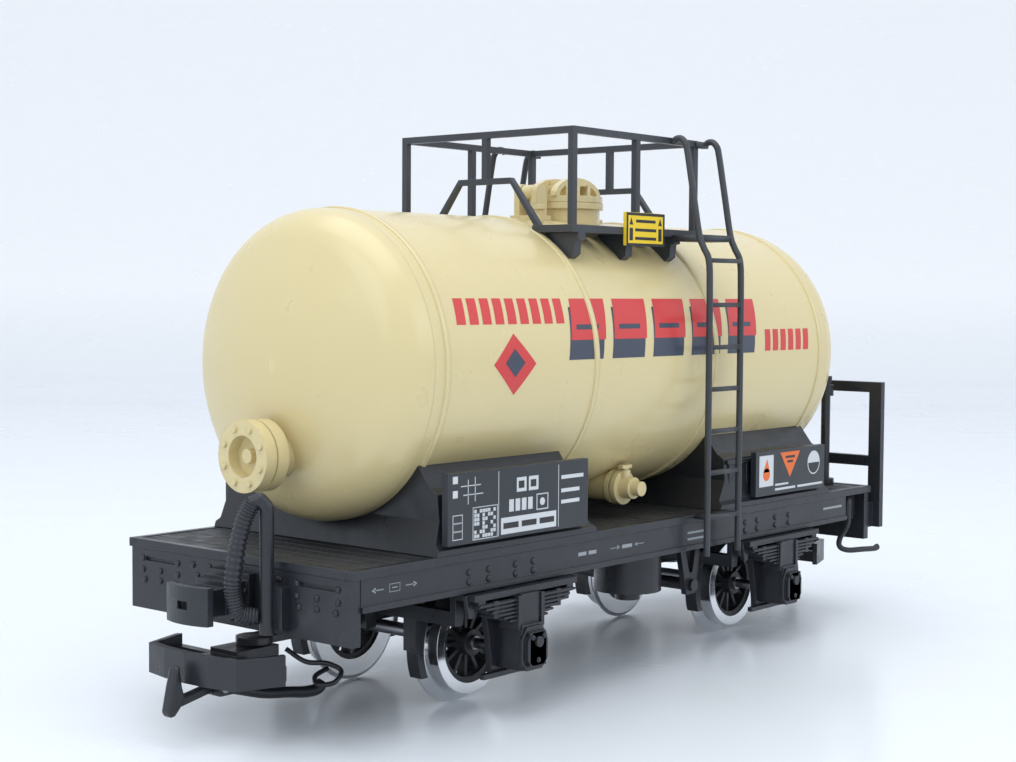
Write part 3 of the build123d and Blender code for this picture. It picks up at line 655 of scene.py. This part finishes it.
def make_rivets():
    """Domed heads on the headstocks and solebars."""
    slot_group = ((24.0, 42.2), (24.0, 39.0), (24.8, 36.2), (31.5, 39.2), (31.5, 36.4),
                  (39.2, 42.2), (39.2, 39.0), (38.4, 36.2))
    inner_group = ((10.5, 42.6), (12.4, 39.4), (15.6, 39.8), (17.4, 42.6))
    bm = bmesh.new()
    for end in (-1, 1):
        for side in (-1, 1):
            for y, z in slot_group + inner_group:
                add_dome(bm, (end * HEADSTOCK_FACE, side * y, z), (end, 0, 0), 0.95, 0.65)
    for side in (-1, 1):
        for x in SOLEBAR_RIVET_XS:
            for z in (42.0, 39.4):
                add_dome(bm, (x, side * -SOLEBAR_FACE, z), (0, side, 0), 1.05, 0.6)
    heads = piece("rivet_heads", bm, frame_black, "chassis", smooth=True)
    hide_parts("frame_rivets")


def make_hoses():
    """Ribbed brake hose with its clip, one at each end."""
    points_per_rib = 4.0
    for end, turned in ENDS:
        x = PIPE_X
        y = PIPE_Y
        top = PIPE_TOPS[end]
        middle = (top + 22.0) / 2
        knots = [(x - 2.6, y + 2.6, top - 0.9), (x - 4.4, y + 3.6, top - 5.0),
                 (x - 5.9, y + 4.6, top - 12.0), (x - 6.9, y + 5.3, middle),
                 (x - 6.7, y + 5.1, middle - 4.5), (x - 5.4, y + 4.5, 34.4),
                 (x - 2.0, y + 2.0, 33.2)]
        line = smooth_line(knots, 22)
        radii = [2.15 + 0.28 * math.sin(math.tau * i / points_per_rib + 0.8)
                 for i in range(len(line))]
        bm = bmesh.new()
        add_tube(bm, line, radii)
        piece("hose_ribbed_" + end, bm, hose_black, "chassis",
                          smooth=True, turned=turned)
        bm = bmesh.new()
        add_box(bm, x - 2.6, x + 0.5, y + 1.0, y + 3.4, 31.6, 34.8)
        piece("hose_clip_" + end, bm, frame_black, "chassis", bevel=0.4,
              turned=turned)
    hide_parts("brake_hoses")


def make_centring_wires():
    """Bent wire on each truck, behind the coupler."""
    knots = [(-118.6, -5.0, 20.5), (-115.0, -9.0, 17.0), (-109.5, -11.5, 16.0),
             (-107.0, -14.5, 14.0), (-110.5, -15.5, 11.5), (-113.5, -12.5, 11.0),
             (-112.0, -9.5, 12.5), (-106.0, -8.0, 13.5)]
    line = smooth_line(knots, 8)
    for end, turned in ENDS:
        bm = bmesh.new()
        add_tube(bm, line, [0.7] * len(line), 10)
        piece("centring_wire_" + end, bm, frame_black, "truck_" + end,
              smooth=True, turned=turned)


# ---- prints: plain bands and shapes ----
def tank_row(bm, x0, x1, angle, radius):
    """Two vertices on the tank's side at one angle above its middle, in degrees."""
    y = -radius * math.cos(math.radians(angle))
    z = TANK_Z + radius * math.sin(math.radians(angle))
    return bm.verts.new((x0, y, z)), bm.verts.new((x1, y, z))


def add_tank_patch(bm, x0, x1, low, high, lean=0.0, lift=0.04):
    """Patch that follows the tank between two angles, leaning along X as it rises."""
    steps = max(3, int((high - low) / 2))
    rows = []
    for i in range(steps + 1):
        part = i / steps
        rows.append(tank_row(bm, x0 + lean * part, x1 + lean * part,
                             low + (high - low) * part, TANK_RADIUS + lift))
    skin(bm, rows, closed=False)


def add_tank_diamond(bm, x, half, low, high, lift=0.05):
    """Diamond on the tank side, wide in the middle."""
    steps = 16
    tip = 0.02
    rows = []
    for i in range(steps + 1):
        part = i / steps
        width = half * (1.0 - abs(2 * part - 1.0)) + tip
        rows.append(tank_row(bm, x - width, x + width, low + (high - low) * part,
                             TANK_RADIUS + lift))
    skin(bm, rows, closed=False)


def make_tank_prints():
    """Rows of slanted bars, two-colour blocks and a diamond in place of the lettering."""
    for side, turned in SIDES:
        red = bmesh.new()
        blue = bmesh.new()
        for i in range(9):
            x = -91.0 + 5.3 * i
            add_tank_patch(red, x, x + 3.7, 15.5, 25.5, 0.9)
        for i in range(6):
            x = 60.6 + 4.9 * i
            add_tank_patch(red, x, x + 3.4, 2.0, 11.5, 0.9)
        for i in range(5):
            x = -43.0 + 20.6 * i
            add_tank_patch(blue, x - 1.6, x + 14.6, 1.5, 22.0, 3.0, 0.04)
            add_tank_patch(red, x, x + 16.4, 9.0, 25.5, 3.0, 0.07)
            add_tank_patch(blue, x + 3.0, x + 13.6, 13.0, 15.0, 0.4, 0.10)
        add_tank_diamond(red, -68.5, 9.0, -10.5, 12.0)
        add_tank_diamond(blue, -68.5, 4.2, -4.0, 6.5, 0.09)
        piece("tank_print_red_" + side, red, print_red, "chassis", turned=turned)
        piece("tank_print_blue_" + side, blue, print_blue, "chassis",
              turned=turned)


def add_mark(bm, x0, x1, z0, z1, face):
    """Thin bar on a face."""
    add_box(bm, x0, x1, face - PRINT_LIFT, face + PRINT_SINK, z0, z1)


def add_outline(bm, x0, x1, z0, z1, face, line=0.35):
    """Frame of four thin bars on a face."""
    add_mark(bm, x0, x1, z0, z0 + line, face)
    add_mark(bm, x0, x1, z1 - line, z1, face)
    add_mark(bm, x0, x0 + line, z0 + line, z1 - line, face)
    add_mark(bm, x1 - line, x1, z0 + line, z1 - line, face)


def add_triangle(bm, points, face):
    """Thin filled outline on a face."""
    add_prism_y(bm, points, face - PRINT_LIFT, face + PRINT_SINK)


def add_disc(bm, x, z, radius, face, start=0.0, end=math.tau):
    """Thin disc on a face, or the part of it between two angles."""
    count = 24
    last = count if end - start < math.tau else count - 1
    angles = [start + (end - start) * i / count for i in range(last + 1)]
    points = [(x + radius * math.cos(a), z + radius * math.sin(a)) for a in angles]
    add_prism_y(bm, points, face - PRINT_LIFT, face + PRINT_SINK)


def add_arrow_head(bm, x, z, way, rise, face):
    """Small triangle on a solebar, pointing along X."""
    add_triangle(bm, [(x + way * 0.9, z), (x - way * 0.6, z + rise), (x - way * 0.6, z - rise)],
                 face)


def make_long_board_prints():
    """Line work, grids and bars in place of the printed data."""
    f = BOARD_FACE
    grid_pitch = 1.12
    for side, turned in SIDES:
        bm = bmesh.new()
        for x in (-78.6, -52.6):
            add_mark(bm, x - 0.13, x + 0.13, 51.0, 68.7, f)
        for z in (66.6, 62.8):
            add_mark(bm, -97.2, -95.2, z, z + 2.0, f)
        add_mark(bm, -94.0, -86.0, 65.6, 65.9, f)
        add_mark(bm, -93.0, -85.0, 63.2, 63.5, f)
        add_mark(bm, -91.2, -90.9, 60.8, 67.4, f)
        add_mark(bm, -88.4, -88.1, 61.4, 68.0, f)
        for z in (51.6, 53.8, 56.0):
            add_outline(bm, -97.2, -93.2, z, z + 2.3, f, 0.25)
        random.seed(11)
        for i in range(8):
            for k in range(7):
                if random.random() < 0.6:
                    x = -88.6 + i * grid_pitch
                    z = 51.4 + k * grid_pitch
                    add_mark(bm, x, x + 0.95, z, z + 0.95, f)
        add_outline(bm, -89.2, -79.0, 50.9, 59.8, f, 0.25)
        for x in (-71.0, -65.8):
            add_mark(bm, x, x + 4.2, 62.4, 66.4, f)
        for i in range(4):
            add_mark(bm, -74.2 + 2.7 * i, -72.2 + 2.7 * i, 57.2, 60.6, f)
        add_outline(bm, -62.4, -57.2, 56.6, 61.2, f, 0.35)
        add_disc(bm, -59.8, 58.9, 1.1, f)
        for z, x1 in ((64.4, -41.2), (60.6, -43.0), (57.4, -43.0)):
            add_mark(bm, -51.4, x1, z, z + 1.1, f)
        add_mark(bm, -77.6, -53.6, 51.2, 55.8, f)
        piece("long_board_marks_" + side, bm, print_white, "chassis",
              turned=turned)
        bm = bmesh.new()
        for i in range(3):
            add_mark(bm, -76.6 + 7.8 * i, -70.2 + 7.8 * i, 52.7, 54.3, f - OVERPRINT)
        for i in range(2):
            add_mark(bm, -70.2 + 5.2 * i, -67.8 + 5.2 * i, 63.4, 65.4, f - OVERPRINT)
        piece("long_board_insets_" + side, bm, print_black, "chassis",
              turned=turned)


def make_short_board_prints():
    """Label with a drop shape, an orange triangle and a half filled disc."""
    f = BOARD_FACE
    for side, turned in SIDES:
        white = bmesh.new()
        orange = bmesh.new()
        add_mark(white, 53.6, 62.4, 53.2, 63.6, f)
        add_mark(white, 63.6, 76.5, 51.4, 52.2, f)
        add_mark(white, 78.0, 94.6, 51.4, 52.2, f)
        add_mark(white, 63.6, 72.0, 53.0, 53.7, f)
        add_disc(white, 88.6, 59.2, 4.1, f)
        add_triangle(orange, [(66.6, 64.0), (79.4, 64.0), (73.0, 55.4)], f)
        add_disc(orange, 58.0, 57.2, 2.1, f - OVERPRINT)
        add_triangle(orange, [(56.0, 58.0), (60.0, 58.0), (58.4, 62.4)], f - OVERPRINT)
        piece("short_board_marks_" + side, white, print_white, "chassis",
              turned=turned)
        piece("short_board_orange_" + side, orange, print_orange, "chassis",
              turned=turned)
        dark = bmesh.new()
        add_disc(dark, 88.6, 59.2, 3.6, f - OVERPRINT, math.pi, math.tau)
        add_mark(dark, 70.0, 76.0, 61.9, 62.7, f - OVERPRINT)
        add_mark(dark, 71.2, 74.8, 60.3, 61.1, f - OVERPRINT)
        piece("short_board_dark_" + side, dark, print_black, "chassis",
              turned=turned)


def make_plate_prints():
    """Dark frame, bars and pointers on the yellow plates."""
    f = PLATE_FACE
    plate_left = span("gangway_plates")[0][0]
    plate_right = span("gangway_plates")[1][0]
    for side, mirrored in SIDES:
        bm = bmesh.new()
        add_outline(bm, plate_left, plate_right, 131.7, 141.9, f, 0.85)
        for x in (-5.9, 9.2):
            add_mark(bm, x, x + 1.7, 133.4, 137.2, f)
            add_triangle(bm, [(x - 0.1, 138.2), (x + 1.8, 138.2), (x + 0.85, 140.4)], f)
        for z, x0, x1 in ((138.9, -2.6, 7.6), (136.2, -3.0, 8.0), (133.6, -3.0, 8.0)):
            add_mark(bm, x0, x1, z, z + 0.9, f)
        piece("plate_marks_" + side, bm, print_black, "chassis",
              mirrored=mirrored)


def make_solebar_prints():
    """Arrows and short bars along the solebars."""
    f = SOLEBAR_FACE
    for side, turned in SIDES:
        bm = bmesh.new()
        for x, way in ((-124.5, -1), (-109.5, 1)):
            add_mark(bm, x, x - way * 3.4, 41.55, 41.85, f)
            add_arrow_head(bm, x, 41.7, way, 0.8, f)
        add_outline(bm, -119.0, -115.0, 40.6, 42.8, f, 0.2)
        add_mark(bm, -118.0, -116.0, 41.55, 41.85, f)
        for x, way in ((-21.5, 1), (-12.5, -1)):
            add_mark(bm, x, x - way * 4.0, 41.35, 41.6, f)
            add_arrow_head(bm, x, 41.5, way, 0.7, f)
        for x0, x1 in ((-40.8, -37.0), (-36.0, -32.2), (-19.6, -14.6)):
            add_mark(bm, x0, x1, 40.9, 42.0, f)
        add_mark(bm, 15.0, 25.0, 41.6, 42.3, f)
        add_mark(bm, 15.0, 25.0, 39.6, 40.3, f)
        add_mark(bm, 99.0, 112.0, 41.4, 42.2, f)
        piece("solebar_marks_" + side, bm, print_grey, "chassis", turned=turned)


# ---- studio ----
def stage_material():
    """Pale floor that glows a little where it rises behind the wagon."""
    material = surface("stage_floor", (0.80, 0.83, 0.87), rough=(0.22, 0.28), variation=0.01,
                       grain=60.0, bump=0.0)
    nodes = material.node_tree.nodes
    links = material.node_tree.links
    coords = nodes.new("ShaderNodeTexCoord").outputs["Object"]
    split = nodes.new("ShaderNodeSeparateXYZ")
    links.new(coords, split.inputs["Vector"])
    glow = ramp(nodes, links, split.outputs["Z"], 0.0, 0.12, grey(0.0), (0.17, 0.145, 0.12, 1.0))
    links.new(glow, nodes["Principled BSDF"].inputs["Emission Color"])
    nodes["Principled BSDF"].inputs["Emission Strength"].default_value = 1.0
    return material


def make_stage():
    """Floor that curves up into a wall behind the wagon, in metres."""
    half_width = 6.4
    near_edge = -4.0
    curve_start = 1.2
    curve_radius = 1.5
    wall_top = 5.0
    steps = 12
    profile = [(near_edge, 0.0), (curve_start, 0.0)]
    for i in range(1, steps + 1):
        angle = math.pi / 2 * i / steps
        profile.append((curve_start + curve_radius * math.sin(angle),
                        curve_radius * (1 - math.cos(angle))))
    profile.append((curve_start + curve_radius, wall_top))
    turn = Matrix.Rotation(math.radians(-49.65), 4, "Z")
    bm = bmesh.new()
    rows = []
    for distance, height in profile:
        rows.append([bm.verts.new(turn @ Vector((across, distance, height)))
                     for across in (-half_width, half_width)])
    skin(bm, rows, closed=False)
    mesh = bpy.data.meshes.new("stage_sweep")
    bm.to_mesh(mesh)
    bm.free()
    for polygon in mesh.polygons:
        polygon.use_smooth = True
    mesh.materials.append(stage_material())
    floor = bpy.data.objects.new("stage_sweep", mesh)
    floor.location.z = -0.00005
    bpy.context.scene.collection.objects.link(floor)


def area_light(name, place, aim, size, power, colour=(1.0, 1.0, 1.0)):
    """Soft rectangular light aimed at a point."""
    data = bpy.data.lights.new(name, "AREA")
    data.shape = "RECTANGLE"
    data.size = size[0]
    data.size_y = size[1]
    data.energy = power
    data.color = colour
    light = bpy.data.objects.new(name, data)
    light.location = place
    direction = Vector(aim) - Vector(place)
    light.rotation_euler = direction.to_track_quat("-Z", "Y").to_euler()
    bpy.context.scene.collection.objects.link(light)


def make_lights():
    """Pale sky with three large soft lights."""
    world = bpy.data.worlds.new("studio")
    bpy.context.scene.world = world
    world.use_nodes = True
    background = world.node_tree.nodes["Background"]
    background.inputs["Color"].default_value = (0.83, 0.90, 0.98, 1.0)
    background.inputs["Strength"].default_value = 1.0
    bpy.context.scene.view_settings.view_transform = "Standard"
    area_light("overhead", (-0.1, 0.0, 1.0), (0.0, 0.0, 0.1), (1.0, 0.7), 3.6)
    area_light("key_left", (-0.9, -0.1, 0.75), (-0.05, 0.0, 0.1), (0.8, 0.8), 2.5,
               (0.97, 0.98, 1.0))
    area_light("fill_right", (0.35, -1.0, 0.6), (0.0, 0.0, 0.1), (0.9, 0.5), 1.7)


make_camera()
paint_nodes()
soften_nodes()
make_deck()
make_seams()
make_steps()
make_ladders()
make_hooks()
make_buffers()
make_side_gear_details()
make_saddle_ribs()
make_rivets()
make_hoses()
make_centring_wires()
make_tank_prints()
make_long_board_prints()
make_short_board_prints()
make_plate_prints()
make_solebar_prints()
make_stage()
make_lights()
